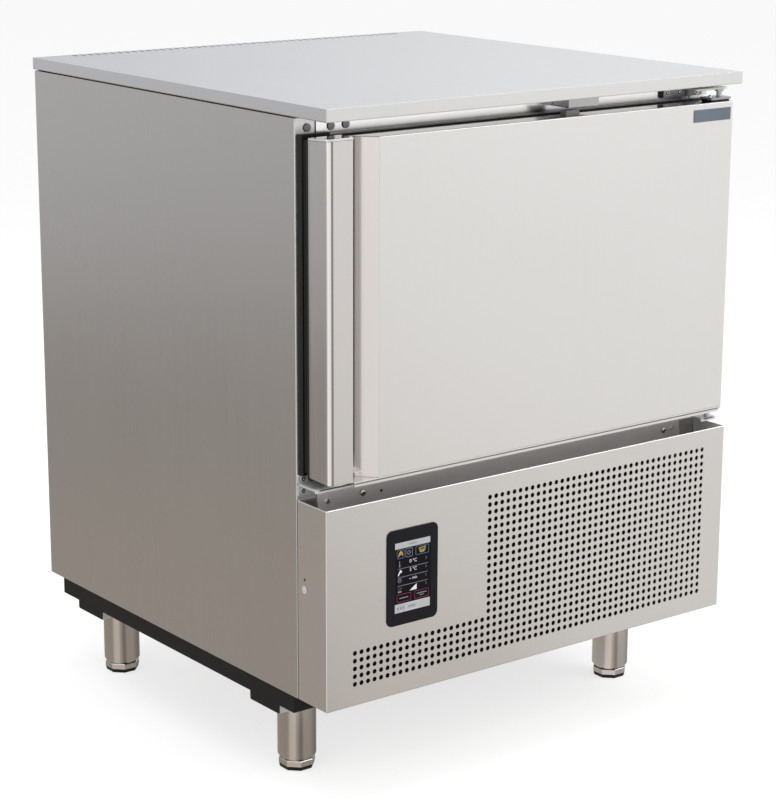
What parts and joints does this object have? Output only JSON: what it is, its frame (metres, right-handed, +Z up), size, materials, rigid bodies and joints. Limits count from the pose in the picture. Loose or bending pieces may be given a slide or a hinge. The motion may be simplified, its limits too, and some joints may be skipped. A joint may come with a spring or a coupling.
{
  "type": "blast chiller",
  "caption": "Under-counter steel blast chiller: right-hung insulated door with a full-height grip, perforated front panel with a touch display, round adjustable legs.",
  "frame": {"origin": "on the floor, below the middle of the worktop", "axes": "+Z up, -Y towards the front (the door and the display), +X to the right as seen from the front"},
  "size_m": [0.8, 0.815, 1.037],
  "materials": {
    "satin_steel": "brushed stainless sheet",
    "pale_steel": "pale satin stainless sheet",
    "zinc_steel": "zinc-plated sheet, satin",
    "black_paint": "black paint, semi-matt",
    "black_plastic": "black plastic, matt",
    "grey_plastic": "grey plastic, matt",
    "white_plastic": "white plastic, matt",
    "seal_rubber": "black rubber seal",
    "foam": "rigid insulating foam, matt",
    "copper_pipe": "bare copper, satin",
    "coil_fins": "bare aluminium fins",
    "screen": "black glossy touch screen",
    "badge": "blue-grey satin plate"
  },
  "bodies": {
    "cabinet": {"left_side_panel": "satin_steel", "right_side_panel": "satin_steel", "back_panel": "satin_steel", "chamber_liner": "satin_steel", "top_front_rail": "satin_steel", "lower_front_rail": "satin_steel", "left_tray_rack": "satin_steel", "right_tray_rack": "satin_steel", "evaporator_baffle": "satin_steel", "fascia_panel": "satin_steel", "front_left_leg": "satin_steel", "front_right_leg": "satin_steel", "rear_left_leg": "satin_steel", "rear_right_leg": "satin_steel", "worktop": "pale_steel", "front_cross_rail": "zinc_steel", "rear_cross_rail": "zinc_steel", "insulation_tray": "zinc_steel", "condenser_fan_shroud": "zinc_steel", "electrical_box": "zinc_steel", "condensate_tray": "zinc_steel", "lower_hinge_bracket": "zinc_steel", "lower_left_bracket": "zinc_steel", "upper_hinge_bracket": "zinc_steel", "base_frame": "black_paint", "evaporator_fan_motor": "black_paint", "condenser_fan_motor": "black_paint", "compressor": "black_paint", "liquid_receiver": "black_paint", "breaker_frame": "black_plastic", "display_bezel": "black_plastic", "controller_housing": "grey_plastic", "door_switch": "grey_plastic", "probe_socket": "grey_plastic", "side_cap": "white_plastic", "worktop_core": "foam", "cabinet_insulation": "foam", "suction_pipe": "copper_pipe", "discharge_pipe": "copper_pipe", "evaporator_coil": "coil_fins", "condenser_coil": "coil_fins", "display_screen": "screen"},
    "door": {"door_skin": "pale_steel", "door_handle": "satin_steel", "door_top_cap": "satin_steel", "door_bottom_cap": "pale_steel", "door_insulation": "foam", "door_liner": "satin_steel", "door_inner_frame": "black_plastic", "door_gasket": "seal_rubber", "upper_door_plate": "zinc_steel", "lower_door_plate": "zinc_steel", "door_magnet": "grey_plastic", "badge_plate": "badge"},
    "front_left_foot": {"front_left_foot": "satin_steel"},
    "front_right_foot": {"front_right_foot": "satin_steel"},
    "rear_left_foot": {"rear_left_foot": "satin_steel"},
    "rear_right_foot": {"rear_right_foot": "satin_steel"},
    "evaporator_fan": {"evaporator_fan_blade": "black_plastic"},
    "condenser_fan": {"condenser_fan_blade": "black_plastic"}
  },
  "joints": [
    {"name": "door_hinge", "type": "hinge", "parent": "cabinet", "child": "door", "pos_m": [0.3855, -0.3715, 0.743], "axis": [0, 0, 1], "range_deg": [0, 110]},
    {"name": "front_left_foot_screw", "type": "slide", "parent": "cabinet", "child": "front_left_foot", "axis": [0, 0, -1], "range_m": [0, 0.03]},
    {"name": "front_right_foot_screw", "type": "slide", "parent": "cabinet", "child": "front_right_foot", "axis": [0, 0, -1], "range_m": [0, 0.03]},
    {"name": "rear_left_foot_screw", "type": "slide", "parent": "cabinet", "child": "rear_left_foot", "axis": [0, 0, -1], "range_m": [0, 0.03]},
    {"name": "rear_right_foot_screw", "type": "slide", "parent": "cabinet", "child": "rear_right_foot", "axis": [0, 0, -1], "range_m": [0, 0.03]},
    {"name": "evaporator_fan_spin", "type": "hinge", "parent": "cabinet", "child": "evaporator_fan", "pos_m": [0, 0.12297, 0.745], "axis": [0, 1, 0], "continuous": true},
    {"name": "condenser_fan_spin", "type": "hinge", "parent": "cabinet", "child": "condenser_fan", "pos_m": [0.18, -0.23753, 0.295], "axis": [0, 1, 0], "continuous": true}
  ]
}
